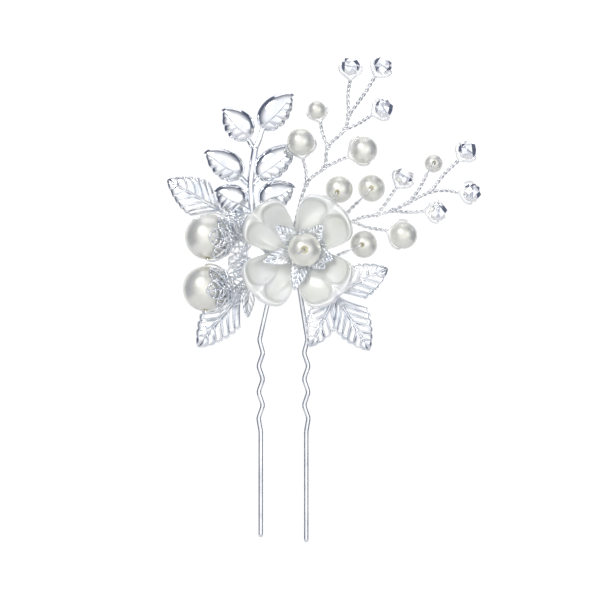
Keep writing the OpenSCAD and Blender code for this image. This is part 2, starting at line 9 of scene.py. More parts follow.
import bpy
import numpy as np
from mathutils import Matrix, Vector


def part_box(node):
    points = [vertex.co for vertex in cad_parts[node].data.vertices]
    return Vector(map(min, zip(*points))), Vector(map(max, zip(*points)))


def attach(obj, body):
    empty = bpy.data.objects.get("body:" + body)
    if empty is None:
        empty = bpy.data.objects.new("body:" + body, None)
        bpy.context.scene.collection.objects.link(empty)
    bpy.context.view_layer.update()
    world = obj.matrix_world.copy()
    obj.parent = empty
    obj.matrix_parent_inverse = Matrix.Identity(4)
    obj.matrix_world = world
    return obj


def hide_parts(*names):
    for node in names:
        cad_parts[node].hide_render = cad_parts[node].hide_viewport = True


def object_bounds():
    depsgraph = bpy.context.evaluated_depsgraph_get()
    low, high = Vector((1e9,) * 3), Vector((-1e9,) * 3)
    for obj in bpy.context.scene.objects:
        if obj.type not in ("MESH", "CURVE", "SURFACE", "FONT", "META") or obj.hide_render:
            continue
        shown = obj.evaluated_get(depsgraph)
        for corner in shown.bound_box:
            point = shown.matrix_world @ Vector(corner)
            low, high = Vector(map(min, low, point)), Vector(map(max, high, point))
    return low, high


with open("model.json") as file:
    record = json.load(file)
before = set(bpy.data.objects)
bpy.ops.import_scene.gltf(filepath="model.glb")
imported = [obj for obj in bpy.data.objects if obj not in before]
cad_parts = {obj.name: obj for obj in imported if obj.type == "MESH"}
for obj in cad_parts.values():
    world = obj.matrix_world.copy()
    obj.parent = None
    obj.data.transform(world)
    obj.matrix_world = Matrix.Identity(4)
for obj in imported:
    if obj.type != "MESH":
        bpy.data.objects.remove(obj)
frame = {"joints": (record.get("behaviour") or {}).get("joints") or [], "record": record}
cad_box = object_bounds()

MM = 0.001
FRONT = np.array([0.0, -1.0, 0.0])
STRAND_R = 0.2
BORE_R = 0.27
TWIST_PITCH = 2.4
LOOP_REACH = 0.85
PIN_R = 0.55
LARGE_PEARL_R, CENTRE_PEARL_R, PEARL_R, SMALL_PEARL_R, CRYSTAL_R = 5.0, 3.6, 3.0, 2.0, 2.2
CHILD_JOINT = {j["child"]: j for j in frame["joints"]}
BODY_OF = {n: b for b, nodes in frame["record"]["behaviour"]["bodies"].items() for n in nodes}


def vec(*p):
    return np.array(p, dtype=float)


def vecs(*triples):
    return [vec(*t) for t in triples]


def unit(v):
    v = np.asarray(v, dtype=float)
    return v / np.linalg.norm(v)


def square_to(v, s):
    """Unit vector along the part of v that is square to s."""
    v, s = np.asarray(v, dtype=float), np.asarray(s, dtype=float)
    return unit(v - v.dot(s) * s)


def pivot(node):
    """Where a moving node turns, in mm, and the axis that it turns about."""
    j = CHILD_JOINT[BODY_OF[node]]
    return np.array(j["pos_m"]) / MM, unit(j["axis"])


def box_mm(node):
    """Lowest and highest corner of a CAD node, in mm."""
    return [np.array(c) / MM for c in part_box(node)]


# ---------------------------------------------------------------- materials


def new_material(name):
    m = bpy.data.materials.new(name)
    m.use_nodes = True
    nodes, links = m.node_tree.nodes, m.node_tree.links
    return m, nodes, links, nodes["Principled BSDF"]


def object_noise(nodes, links, scale, detail=4.0, rough=0.55):
    """Noise over object coordinates; scale is in features a metre."""
    where = nodes.new("ShaderNodeTexCoord")
    noise = nodes.new("ShaderNodeTexNoise")
    noise.inputs["Scale"].default_value = scale
    noise.inputs["Detail"].default_value = detail
    noise.inputs["Roughness"].default_value = rough
    links.new(where.outputs["Object"], noise.inputs["Vector"])
    return noise


def ramp(nodes, links, source, stops):
    r = nodes.new("ShaderNodeValToRGB")
    while len(r.color_ramp.elements) < len(stops):
        r.color_ramp.elements.new(0.5)
    for element, (at, colour) in zip(r.color_ramp.elements, stops):
        element.position = at
        element.color = (*colour, 1.0)
    links.new(source, r.inputs["Fac"])
    return r


def remap(nodes, links, source, low, high):
    m = nodes.new("ShaderNodeMapRange")
    m.inputs["From Min"].default_value = 0.3
    m.inputs["From Max"].default_value = 0.7
    m.inputs["To Min"].default_value = low
    m.inputs["To Max"].default_value = high
    links.new(source, m.inputs["Value"])
    return m


def bump(nodes, links, shader, source, strength, distance):
    b = nodes.new("ShaderNodeBump")
    b.inputs["Strength"].default_value = strength
    b.inputs["Distance"].default_value = distance
    links.new(source, b.inputs["Height"])
    links.new(b.outputs["Normal"], shader.inputs["Normal"])


def silver(name, tone, tarnish, rough, grain, depth):
    """Silver plate: bright tone with clouds of darker breath, uneven polish and fine grain."""
    m, nodes, links, shader = new_material(name)
    shader.inputs["Metallic"].default_value = 1.0
    cloud = object_noise(nodes, links, 260, 3)
    fine = object_noise(nodes, links, grain, 5, 0.6)
    tint = ramp(nodes, links, cloud.outputs["Fac"], [(0.32, tarnish), (0.62, tone)])
    links.new(tint.outputs["Color"], shader.inputs["Base Color"])
    gloss = remap(nodes, links, fine.outputs["Fac"], rough * 0.75, rough * 1.35)
    links.new(gloss.outputs["Result"], shader.inputs["Roughness"])
    bump(nodes, links, shader, fine.outputs["Fac"], 0.35, depth)
    return m


def pearl_material(name, shade, tone):
    """Pearl coat: ivory nacre, cloudy and a little greener in its depths, under a clear coat."""
    m, nodes, links, shader = new_material(name)
    cloud = object_noise(nodes, links, 420, 4)
    nacre = ramp(nodes, links, cloud.outputs["Fac"], [(0.3, shade), (0.6, tone)])
    links.new(nacre.outputs["Color"], shader.inputs["Base Color"])
    fine = object_noise(nodes, links, 5200, 3)
    gloss = remap(nodes, links, fine.outputs["Fac"], 0.33, 0.40)
    links.new(gloss.outputs["Result"], shader.inputs["Roughness"])
    shader.inputs["Metallic"].default_value = 0.55
    shader.inputs["Specular IOR Level"].default_value = 0.6
    shader.inputs["Coat Weight"].default_value = 0.25
    shader.inputs["Coat Roughness"].default_value = 0.2
    bump(nodes, links, shader, fine.outputs["Fac"], 0.08, 0.00002)
    return m


def petal_material():
    """Moulded pearlescent resin: cool white with ivory depths and a satin coat."""
    m, nodes, links, shader = new_material("petal_resin")
    cloud = object_noise(nodes, links, 150, 3, 0.5)
    stops = [(0.3, (0.90, 0.91, 0.84)), (0.5, (0.945, 0.955, 0.925)), (0.7, (0.96, 0.97, 0.98))]
    body = ramp(nodes, links, cloud.outputs["Fac"], stops)
    links.new(body.outputs["Color"], shader.inputs["Base Color"])
    fine = object_noise(nodes, links, 240, 2)
    gloss = remap(nodes, links, fine.outputs["Fac"], 0.22, 0.27)
    links.new(gloss.outputs["Result"], shader.inputs["Roughness"])
    shader.inputs["Metallic"].default_value = 0.25
    shader.inputs["Coat Weight"].default_value = 0.7
    shader.inputs["Coat Roughness"].default_value = 0.1
    shader.inputs["Specular IOR Level"].default_value = 0.65
    bump(nodes, links, shader, fine.outputs["Fac"], 0.15, 0.0001)
    return m


def crystal_material():
    """Clear cut crystal with a faint cool body and polishing haze."""
    m, nodes, links, shader = new_material("crystal_glass")
    cloud = object_noise(nodes, links, 900, 3)
    body = ramp(nodes, links, cloud.outputs["Fac"], [(0.35, (0.90, 0.93, 0.99)), (0.65, (0.99, 0.99, 1.0))])
    links.new(body.outputs["Color"], shader.inputs["Base Color"])
    gloss = remap(nodes, links, cloud.outputs["Fac"], 0.0, 0.04)
    links.new(gloss.outputs["Result"], shader.inputs["Roughness"])
    shader.inputs["Transmission Weight"].default_value = 1.0
    shader.inputs["IOR"].default_value = 1.56
    return m


def bore_material():
    """Unglazed inside of a pearl's bore: warm straw with darker grain."""
    m, nodes, links, shader = new_material("pearl_bore")
    cloud = object_noise(nodes, links, 1800, 4)
    body = ramp(nodes, links, cloud.outputs["Fac"], [(0.3, (0.72, 0.68, 0.46)), (0.7, (0.90, 0.87, 0.68))])
    links.new(body.outputs["Color"], shader.inputs["Base Color"])
    shader.inputs["Roughness"].default_value = 0.7
    bump(nodes, links, shader, cloud.outputs["Fac"], 0.3, 0.00004)
    return m


PIN_METAL = silver("pin_silver", (0.93, 0.94, 0.96), (0.74, 0.76, 0.79), 0.20, 2600, 0.00002)
WIRE_METAL = silver("wire_silver", (0.95, 0.95, 0.96), (0.70, 0.72, 0.75), 0.24, 3400, 0.00002)
LEAF_METAL = silver("stamped_silver", (0.96, 0.97, 0.99), (0.70, 0.74, 0.80), 0.13, 2200, 0.00004)
CAST_METAL = silver("cast_silver", (0.96, 0.97, 0.99), (0.76, 0.79, 0.84), 0.12, 1500, 0.00003)
# darker copy of the silver, used only for the wire that holds the centre pearl
DARK_METAL = silver("darker_wire_silver", (0.66, 0.67, 0.68), (0.42, 0.43, 0.45), 0.30, 2600, 0.00003)
NACRE = pearl_material("pearl_coat", (0.80, 0.80, 0.71), (0.89, 0.88, 0.83))
PETAL = petal_material()
GLASS = crystal_material()
BORE = bore_material()

# ---------------------------------------------------------------- mesh tools


class Mesh:
    """Collects vertices (in mm) and faces, with a material number for each face."""

    def __init__(self):
        self.points, self.faces, self.kinds = [], [], []

    def grid(self, rows, closed=False, hole=None):
        """Faces between rows of points; closed joins each row's ends; hole(i, j) leaves a face out."""
        at, n, m = len(self.points), len(rows), len(rows[0])
        self.points.extend(tuple(p) for row in rows for p in row)
        for i in range(n - 1):
            for j in range(m if closed else m - 1):
                if hole and hole(i, j):
                    continue
                a, b = at + i * m + j, at + i * m + (j + 1) % m
                self.faces.append((a, b, b + m, a + m))
                self.kinds.append(0)

    def cap_ends(self, n, m):
        """Closes both ends of the grid of n closed rows, m points each, that was added last."""
        first, last = len(self.points) - n * m, len(self.points) - m
        self.faces.append(tuple(first + i for i in reversed(range(m))))
        self.faces.append(tuple(last + i for i in range(m)))
        self.kinds.extend([0, 0])

    def build(self, name, body, nodes, materials, slot, flat=False):
        data = bpy.data.meshes.new(name)
        data.from_pydata([[c * MM for c in p] for p in self.points], [], self.faces)
        for m in materials:
            data.materials.append(m)
        data.polygons.foreach_set("material_index", self.kinds)
        data.polygons.foreach_set("use_smooth", [not flat] * len(self.faces))
        data.validate()
        data.update()
        piece = bpy.data.objects.new(name, data)
        bpy.context.scene.collection.objects.link(piece)
        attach(piece, body)
        if nodes:
            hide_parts(*nodes)
        return piece


def add_modifiers(piece, thickness, levels=0):
    """Gives a sheet its thickness, to both sides, and smooths it where levels says so."""
    m = piece.modifiers.new("thickness", "SOLIDIFY")
    m.thickness = thickness * MM
    m.offset = 0.0
    m.use_even_offset = False
    if levels:
        m = piece.modifiers.new("smooth", "SUBSURF")
        m.levels = m.render_levels = levels


def rounded(points, radii, step=0.25):
    """Polyline through points whose inner corners are arcs of the given radii."""
    points = [np.asarray(p, dtype=float) for p in points]
    out = [points[0]]
    for k in range(1, len(points) - 1):
        f = radii[k] if isinstance(radii, (list, tuple)) else radii
        u, v = unit(points[k] - points[k - 1]), unit(points[k + 1] - points[k])
        turn = math.acos(max(-1.0, min(1.0, float(u.dot(v)))))
        if turn < 0.01 or f <= 0:
            out.append(points[k])
            continue
        cut = f * math.tan(turn / 2)
        inward = square_to(v, u)
        centre = points[k] - u * cut + inward * f
        count = max(3, int(f * turn / step) + 2)
        for a in np.linspace(0, turn, count):
            out.append(centre - inward * f * math.cos(a) + u * f * math.sin(a))
    out.append(points[-1])
    return np.array(out)


def resample(path, step):
    """The path with points about step apart, and how far along it each one is."""
    path = np.asarray(path, dtype=float)
    gaps = np.linalg.norm(np.diff(path, axis=0), axis=1)
    keep = np.concatenate([[True], gaps > 1e-6])
    path = path[keep]
    far = np.concatenate([[0], np.cumsum(np.linalg.norm(np.diff(path, axis=0), axis=1))])
    count = max(2, int(round(far[-1] / step)) + 1)
    at = np.linspace(0, far[-1], count)
    return np.stack([np.interp(at, far, path[:, i]) for i in range(3)], axis=1), at


def smooth_curve(points, step=0.4):
    """Catmull-Rom curve through points."""
    p = [np.asarray(q, dtype=float) for q in points]
    p = [2 * p[0] - p[1], *p, 2 * p[-1] - p[-2]]
    out = []
    for a, b, c, d in zip(p, p[1:], p[2:], p[3:]):
        for t in np.linspace(0, 1, 12, endpoint=False):
            out.append(
                0.5 * (2 * b + (c - a) * t + (2 * a - 5 * b + 4 * c - d) * t * t + (3 * b - a - 3 * c + d) * t**3)
            )
    out.append(p[-2])
    return resample(np.array(out), step)[0]


def frames(path):
    """Tangent and two normals along a path, carried along without twist."""
    tangents = np.gradient(path, axis=0)
    tangents /= np.linalg.norm(tangents, axis=1)[:, None]
    first = np.array([0.0, 1.0, 0.0])
    if abs(tangents[0].dot(first)) > 0.9:
        first = np.array([1.0, 0.0, 0.0])
    n = square_to(first, tangents[0])
    sides, ups = [], []
    for t in tangents:
        n = square_to(n, t)
        sides.append(n)
        ups.append(np.cross(t, n))
    return tangents, np.array(sides), np.array(ups)


def tube(mesh, path, radius, sides=12):
    """Round tube along path; radius is one number or one for each point. Ends are domed."""
    path = np.asarray(path, dtype=float)
    radius = np.broadcast_to(np.asarray(radius, dtype=float), (len(path),)).copy()
    t, n, b = frames(path)
    centres, radii, ns, bs = list(path), list(radius), list(n), list(b)
    r0, r1 = radius[0], radius[-1]
    for a in (0.35, 0.7, 0.92):
        back, slim = math.sin(a * math.pi / 2), math.cos(a * math.pi / 2)
        centres.insert(0, path[0] - t[0] * r0 * back)
        radii.insert(0, r0 * slim)
        ns.insert(0, n[0])
        bs.insert(0, b[0])
        centres.append(path[-1] + t[-1] * r1 * back)
        radii.append(r1 * slim)
        ns.append(n[-1])
        bs.append(b[-1])
    turns = np.linspace(0, 2 * math.pi, sides, endpoint=False)
    rows = [
        [c + r * (math.cos(a) * x + math.sin(a) * y) for a in turns]
        for c, r, x, y in zip(centres, radii, ns, bs)
    ]
    mesh.grid(rows, closed=True)
    mesh.cap_ends(len(rows), sides)


def twisted(mesh, path, start=0.0):
    """Two strands twisted round each other along path, drawn a little unevenly as by hand."""
    path, at = resample(path, 0.11)
    _, n, b = frames(path)
    for side in (0, math.pi):
        turn = 2 * math.pi * at / TWIST_PITCH + side + start + 0.35 * np.sin(at * 0.9 + start)
        away = STRAND_R * (1.0 + 0.12 * np.sin(at * 1.7 + side))
        strand = path + (np.cos(turn) * away)[:, None] * n + (np.sin(turn) * away)[:, None] * b
        tube(mesh, strand, STRAND_R, 8)


def bead_loop(mesh, centre, radius, stem, bore, gap=0.05, reach=LOOP_REACH):
    """The strand that leaves its twist, hugs a bead, runs through the bore and comes back."""
    h = radius + gap + STRAND_R
    far = radius + reach
    k = h * math.tan(math.asin(h / far) / 2)
    corners = [
        centre - stem * far,
        centre - stem * k + bore * h,
        centre + bore * h,
        centre - bore * h,
        centre - stem * k - bore * h,
        centre - stem * far,
    ]
    path = rounded(corners, [0, 0.7 * h, 0.3, 0.3, 0.7 * h, 0], 0.12)
    tube(mesh, resample(path, 0.16)[0], STRAND_R, 10)


# ---------------------------------------------------------------- pin

LEG_TOP_OUT, LEG_HALF, CRIMP, CRIMP_STEP = 5.3, 5.0, 0.5, 2.87
APEX = vec(0.92, 0, 27.4)


def leg_path(side, node):
    """Centre line of a prong: six crimps, then straight down to the node's lowest point."""
    top, _ = pivot(node)
    low = box_mm(node)[0][2]
    points = [top, vec(side * LEG_TOP_OUT, 0, 0)]
    for k in range(1, 7):
        points.append(vec(side * (LEG_HALF + (-CRIMP if k % 2 else CRIMP)), 0, -k * CRIMP_STEP))
    points.append(vec(side * LEG_HALF, 0, -7 * CRIMP_STEP))
    points.append(vec(side * LEG_HALF, 0, low + PIN_R))
    return resample(rounded(points, 1.6, 0.2), 0.3)[0]


for side, node in ((-1, "pin_leg_left"), (1, "pin_leg_right")):
    m = Mesh()
    tube(m, leg_path(side, node), PIN_R, 20)
    m.build(node.replace("pin_", "") + "_wire", BODY_OF[node], [node], [PIN_METAL], "pin_wire")

left_top, right_top = pivot("pin_leg_left")[0], pivot("pin_leg_right")[0]
m = Mesh()
tube(m, resample(rounded([left_top, APEX, right_top], 0.8, 0.1), 0.25)[0], PIN_R, 20)
m.build("crown_wire", "base", ["pin_crown"], [PIN_METAL], "pin_wire")


def coil(mesh, low, high, r, pitch, squash_y=1.0):
    """Binding wire wound from low to high; squash_y flattens the turns front to back."""
    along = unit(high - low)
    x = square_to([1, 0, 0], along)
    y = np.cross(along, x)
    length = np.linalg.norm(high - low)
    at = np.arange(0, length / pitch, 1 / 28)
    path = [
        low + along * t * pitch + x * r * math.cos(2 * math.pi * t) + y * r * squash_y * math.sin(2 * math.pi * t)
        for t in at
    ]
    tube(mesh, np.array(path), STRAND_R, 8)


def on_leg(top, z):
    """Point at height z on the wire from the top of a leg to the crown."""
    return top + (APEX - top) * (z - top[2]) / (APEX[2] - top[2])


for side, top, end in (("left", left_top, 18.6), ("right", right_top, 18.0)):
    m = Mesh()
    coil(m, on_leg(top, 12) + FRONT * 0.62, on_leg(top, end) + FRONT * 0.62, 1.4, 0.43)
    m.build(f"binding_{side}_coil", "base", [f"binding_{side}"], [WIRE_METAL], "beading_wire")

low, high = box_mm("binding_crown")
mid = (low + high) / 2
wide, deep, _ = (high - low) / 2 - STRAND_R
m = Mesh()
ends = vecs((mid[0], mid[1], low[2] + STRAND_R), (mid[0], mid[1], high[2] - STRAND_R))
coil(m, *ends, wide, 0.4, deep / wide)
m.build("binding_crown_coil", "base", ["binding_crown"], [WIRE_METAL], "beading_wire")

# ---------------------------------------------------------------- beads


def pearl(node, radius, mouth, name):
    """Pearl turned about its bore, with a rounded lip into a straw-coloured bore."""
    centre, axis = pivot(node)
    start = math.asin(mouth / radius)
    lip = radius * math.cos(start)
    seat = lip - 0.5
    profile = [(BORE_R, 0.0, 1), (BORE_R, seat * 0.5, 1), (BORE_R, seat, 1)]
    profile += [(mouth * 0.55, seat + 0.04, 1), (mouth * 0.78, seat + 0.2, 1)]
    for a in (30, 60):
        turn = math.radians(a)
        profile.append((mouth * (0.8 + 0.2 * (1 - math.cos(turn))), lip - 0.2 * (1 - math.sin(turn)), 1))
    for a in np.linspace(start, math.pi / 2, 26):
        profile.append((radius * math.sin(a), radius * math.cos(a), 0))
    full = profile + [(r, -z, k) for r, z, k in reversed(profile[:-1])]
    x = square_to([0.3, 0.2, 0.9], axis)
    y = np.cross(axis, x)
    turns = np.linspace(0, 2 * math.pi, 64, endpoint=False)
    m = Mesh()
    rows = [[centre + axis * z + r * (math.cos(a) * x + math.sin(a) * y) for a in turns] for r, z, _ in full]
    m.grid(rows, closed=True)
    m.kinds = [1 if full[i][2] and full[i + 1][2] else 0 for i in range(len(full) - 1) for _ in turns]
    return m.build(name, BODY_OF[node], [node], [NACRE, BORE], "pearl")


for i in range(1, 7):
    pearl(f"spray_pearl_{i}", PEARL_R, 0.62, f"bead_6mm_{i}")
for i in (1, 2):
    pearl(f"small_pearl_{i}", SMALL_PEARL_R, 0.5, f"bead_4mm_{i}")
pearl("centre_pearl", CENTRE_PEARL_R, 0.92, "bead_centre")
for which in ("upper", "lower"):
    pearl(f"large_pearl_{which}", LARGE_PEARL_R, 0.8, f"bead_10mm_{which}")


def crystal(node, name, turn):
    """Cut crystal: a table round the bore at each end and three belts of kite facets."""
    centre, axis = pivot(node)
    x = square_to([0.3, 0.2, 0.9], axis)
    y = np.cross(axis, x)
    n = 8
    rings = [
        (0.20, 0.905, 0.0), (0.44, 0.895, 0.0), (0.79, 0.60, 0.5), (0.985, 0.165, 0.0),
        (0.985, -0.165, 0.5), (0.79, -0.60, 0.0), (0.44, -0.895, 0.5), (0.20, -0.905, 0.5),
    ]
    m = Mesh()
    for r, z, half_step in rings:
        for k in range(n):
            a = 2 * math.pi * (k + half_step) / n + turn
            p = centre + CRYSTAL_R * (axis * z + r * (math.cos(a) * x + math.sin(a) * y))
            m.points.append(tuple(p))
    for i in range(len(rings) - 1):
        same = rings[i][2] == rings[i + 1][2]
        for k in range(n):
            a, b = i * n + k, i * n + (k + 1) % n
            if same:
                m.faces.append((a, b, b + n, a + n))
            elif rings[i][2] < rings[i + 1][2]:
                m.faces.append((a, b, a + n))
                m.faces.append((b, b + n, a + n))
            else:
                m.faces.append((a, b, b + n))
                m.faces.append((a, b + n, a + n))
    first, last = list(range(n)), list(range((len(rings) - 1) * n, len(rings) * n))
    for k in range(n):
        m.faces.append((last[k], last[(k + 1) % n], first[(k + 1) % n], first[k]))
    m.kinds = [0] * len(m.faces)
    return m.build(name, BODY_OF[node], [node], [GLASS], "crystal", flat=True)


for i in range(1, 8):
    crystal(f"crystal_{i}", f"cut_bead_{i}", 0.3 + 0.37 * i)

# ---------------------------------------------------------------- sprays

UPPER_FORKS = vecs((5.0, -2.6, 34.1), (8.9, -3.2, 37.8), (9.7, -3.4, 42.2), (13.4, -3.5, 46.1), (14.3, -3.5, 49.3))
RIGHT_BASE, RIGHT_BEND, RIGHT_END = vecs((15.1, -2.6, 26.0), (23.9, -3.5, 28.4), (32.3, -3.5, 32.6))
RIGHT_FORKS = [
    RIGHT_BASE + 0.62 * (RIGHT_BEND - RIGHT_BASE),
    RIGHT_BEND,
    RIGHT_BEND + 0.42 * (RIGHT_END - RIGHT_BEND),
    RIGHT_END,
]
KNEES = vecs((8.6, -2.4, 27.2), (13.6, -2.6, 27.4), (12.6, -2.6, 19.0))
KNEE_ROOTS = vecs((2.0, -1.5, 20.6), (2.6, -1.5, 19.4), (4.6, -1.7, 14.4))


def twig(mesh, fork, node, radius, start):
    """Twisted twig from a fork to the loop that holds a bead."""
    centre, bore = pivot(node)
    stem = unit(centre - fork)
    end = centre - stem * (radius + LOOP_REACH)
    length = np.linalg.norm(end - fork)
    sway = np.cross(stem, FRONT) * 0.05 * length * math.sin(start * 5)
    twisted(mesh, smooth_curve([fork, (fork + end) / 2 + sway, end], 0.3), start=start)
    bead_loop(mesh, centre, radius, stem, bore)


def neck(mesh, at, r, start):
    """A tight extra turn of wire where two twists part."""
    turns = np.linspace(start, start + 5.6, 22)
    path = [at + r * vec(math.cos(a), 0.35 * math.sin(2 * a), math.sin(a)) for a in turns]
    tube(mesh, np.array(path), STRAND_R, 8)


def stem(mesh, points, start=0.0):
    twisted(mesh, smooth_curve(points, 0.3), start=start)


m = Mesh()
up_pivot, _ = pivot("spray_upper_wire")
stem(m, [up_pivot, *UPPER_FORKS])
for k, p in enumerate(UPPER_FORKS):
    neck(m, p, 0.42, k * 1.1)
for fork, node, r, s in (
    (0, "spray_pearl_1", PEARL_R, 0.4), (1, "spray_pearl_2", PEARL_R, 1.2),
    (2, "small_pearl_1", SMALL_PEARL_R, 2.1), (4, "crystal_1", CRYSTAL_R, 0.9),
    (4, "crystal_2", CRYSTAL_R, 2.6), (3, "crystal_3", CRYSTAL_R, 1.7),
):
    twig(m, UPPER_FORKS[fork], node, r, s)
m.build("upper_spray_twist", "spray_upper", ["spray_upper_wire"], [WIRE_METAL], "beading_wire")

m = Mesh()
right_pivot, _ = pivot("spray_right_wire")
stem(m, [right_pivot, RIGHT_BASE, *RIGHT_FORKS], 0.7)
for k, p in enumerate(RIGHT_FORKS):
    neck(m, p, 0.42, k * 0.9)
for fork, node, r, s in (
    (RIGHT_BASE, "spray_pearl_5", PEARL_R, 0.2), (RIGHT_FORKS[2], "small_pearl_2", SMALL_PEARL_R, 1.5),
    (RIGHT_FORKS[0], "crystal_4", CRYSTAL_R, 0.6), (RIGHT_FORKS[3], "crystal_5", CRYSTAL_R, 1.1),
    (RIGHT_FORKS[3], "crystal_6", CRYSTAL_R, 2.2), (RIGHT_FORKS[1], "crystal_7", CRYSTAL_R, 2.9),
):
    twig(m, fork, node, r, s)
m.build("right_spray_twist", "spray_right", ["spray_right_wire"], [WIRE_METAL], "beading_wire")

for node, end in (("spray_upper_root", up_pivot), ("spray_right_root", right_pivot)):
    low, high = box_mm(node)
    begin = vec(low[0] + 0.4, (low[1] + high[1]) / 2, low[2] + 0.4)
    m = Mesh()
    twisted(m, np.array([begin, end]), start=0.5)
    m.build(node + "_twist", "base", [node], [WIRE_METAL], "beading_wire")

for k, (number, root, knee) in enumerate(zip((3, 4, 6), KNEE_ROOTS, KNEES)):
    m = Mesh()
    stem(m, [root, (root + knee) / 2 + vec(0, 0.1, 0), knee], 0.3 * k)
    twig(m, knee, f"spray_pearl_{number}", PEARL_R, 1.0 + k)
    m.build(f"short_twist_{number}", "base", [f"stem_pearl_{number}"], [WIRE_METAL], "beading_wire")

# ---------------------------------------------------------------- flower

FLOWER_Y = -3.4
FLOWER_MID = vec(3.0, FLOWER_Y, 19.3)
FLOWER_HOLE = vec(4.6, FLOWER_Y, 19.7)
PETAL_NOTCH, PETAL_RISE, PETAL_T = 5.7, 6.2, 1.1
PETAL_REACH = (13.9, 13.3, 13.6, 13.8)
NOTCHES = (1.0, 96.0, 180.0, 268.5, 361.0)


def step_up(x):
    """Smooth step from 0 at 0 to 1 at 1."""
    x = max(0.0, min(1.0, x))
    return x * x * (3 - 2 * x)


def petal_at(a):
    """Which petal an angle meets, and -1 to 1 from its first notch to its last."""
    a = (a - NOTCHES[0]) % 360 + NOTCHES[0]
    k = max(i for i in range(4) if NOTCHES[i] <= a)
    return k, 2 * (a - NOTCHES[k]) / (NOTCHES[k + 1] - NOTCHES[k]) - 1


def petal_reach(a):
    """Distance from the flower's middle to its outline at an angle."""
    k, s = petal_at(a)
    reach = PETAL_REACH[k] * (1 - 0.17 * s * s) - 0.3 * math.exp(-((s / 0.12) ** 2))
    return PETAL_NOTCH + (reach - PETAL_NOTCH) * (1 - abs(s) ** 10) ** 2.6


def petal_height(r, a, u):
    """Height over the flower's middle: a cup whose rim is a thick roll, widest where a petal's two lobes meet."""
    _, s = petal_at(a)
    cup = max(0.3, PETAL_RISE * (r / 12.4) ** 2)
    width = 1.15 + 2.5 * math.exp(-abs(s - 0.04) / 0.16) - 0.5 * abs(s) ** 3
    into = (r - (petal_reach(a) - width)) / width
    roll = 0.85 * step_up(into * width / 0.9 + 0.5) * (1 - abs(s) ** 8)
    fall = 2.1 * max(0.0, into) ** 2.4
    lip = 1.2 * abs(s) ** 4 * u
    seam = 0.5 * math.exp(-(((s - 0.04) * 45 / 2.6) ** 2)) * step_up((u - 0.45) / 0.3) * (1 - step_up(into * 2))
    wave = 0.25 * math.sin(2 * math.pi * (0.6 * abs(s) + 0.8 * u)) * u
    return cup + roll - fall + lip + seam + wave - 0.35 * step_up((u - 0.3) / 0.5)


def petals():
    """The moulded flower, one closed shell whose rim thins and rounds off."""
    around, out = 448, 60
    top, under = [], []
    for j in range(out + 1):
        u = (j / out) ** 0.75
        round_off = math.sqrt(max(0.0, 1 - max(0.0, (u - 0.94) / 0.06) ** 2))
        t = PETAL_T * (0.22 + 0.78 * round_off)
        row_top, row_under = [], []
        for i in range(around):
            a = math.radians(360 * i / around)
            e = vec(math.cos(a), 0, math.sin(a))
            p = (FLOWER_HOLE + 0.5 * e) * (1 - u) + (FLOWER_MID + petal_reach(math.degrees(a)) * e) * u
            q = p - FLOWER_MID
            h = petal_height(np.linalg.norm(q), math.degrees(math.atan2(q[2], q[0])), u)
            row_top.append(p + FRONT * (h - (PETAL_T - t) * 0.5))
            row_under.append(p + FRONT * (h - (PETAL_T + t) * 0.5))
        top.append(row_top)
        under.append(row_under)
    m = Mesh()
    m.grid(under[:1] + top + list(reversed(under)), closed=True)
    return m.build("petals_moulded", "base", ["flower_petals"], [PETAL], "petal")


petals()


def place(base, tip, face=FRONT):
    """Turns leaf coordinates (along, across, towards face) into the frame's, in mm."""
    x = unit(tip - base)
    z = square_to(face, x)
    y = np.cross(z, x)
    return lambda p: base + x * p[0] + y * p[1] + z * p[2]


def half_width(u, w):
    """Half the width of a leaf of greatest width w, at u from base to tip."""
    return w / 2 * max(0.0, math.sin(math.pi * max(0.0, min(1.0, u)) ** 0.8)) ** 0.75


def bow_height(u, l, r, bow):
    """Height of a bowed sheet of length l over the line from base to tip."""
    x = (u - 0.5) * l
    return bow * (math.sqrt(r * r - l * l / 4) - math.sqrt(r * r - x * x))


def leaf_surface(l, w, r, bow, edge, relief):
    """Point on a bowed leaf at p along its ribs (0 base, 1 tip) and v across (-1 to 1)."""

    def at(p, v, lift=0.0):
        u = p + 0.4 * abs(v) * (1 - p)
        y = v * half_width(u, w) * edge(p, v)
        z = bow_height(u, l, r, bow) + bow * (r - math.sqrt(r * r - y * y)) + relief(p, v, y)
        return vec(u * l, y, z + lift)

    return at


def ribs(mesh, to, at, count, r):
    """Midrib, side ribs and rim bead of a leaf, raised from its face."""
    mid = [to(at(p, 0.0, 0.12)) for p in np.linspace(0.0, 1.0, 24)]
    tube(mesh, np.array(mid), np.linspace(r * 1.9, r * 0.7, 24), 10)
    for k in range(count):
        p = 0.06 + 0.88 * k / count
        for side in (-1, 1):
            line = [to(at(p + 0.03 * v, side * v, 0.14)) for v in np.linspace(0.0, 0.96, 9)]
            tube(mesh, np.array(line), np.linspace(r * 1.1, r * 0.7, 9), 8)
    for side in (-1, 1):
        line = [to(at(p, side * 0.99)) for p in np.linspace(0.0, 0.995, count * 8)]
        tube(mesh, np.array(line), r * 0.75, 8)


def stamped_leaf(mesh, to, l, w, r, bow, teeth, relief):
    """Serrated leaf pressed from sheet, puffed between its side ribs; returns its surface."""

    def edge(p, v):
        saw = (p * teeth) % 1.0
        return 1 + 0.16 * (0.5 - saw) * step_up((abs(v) - 0.4) * 2) * (1 if 0.04 < p < 0.97 else 0)

    def puff(p, v, y):
        return relief * abs(math.sin(math.pi * p * teeth)) ** 0.7 * (1 - abs(v) ** 5) * min(1.0, abs(y) / 0.4)

    at = leaf_surface(l, w, r, bow, edge, puff)
    mesh.grid([[to(at(i / (teeth * 12), j / 14)) for j in range(-14, 15)] for i in range(teeth * 12 + 1)])
    return at


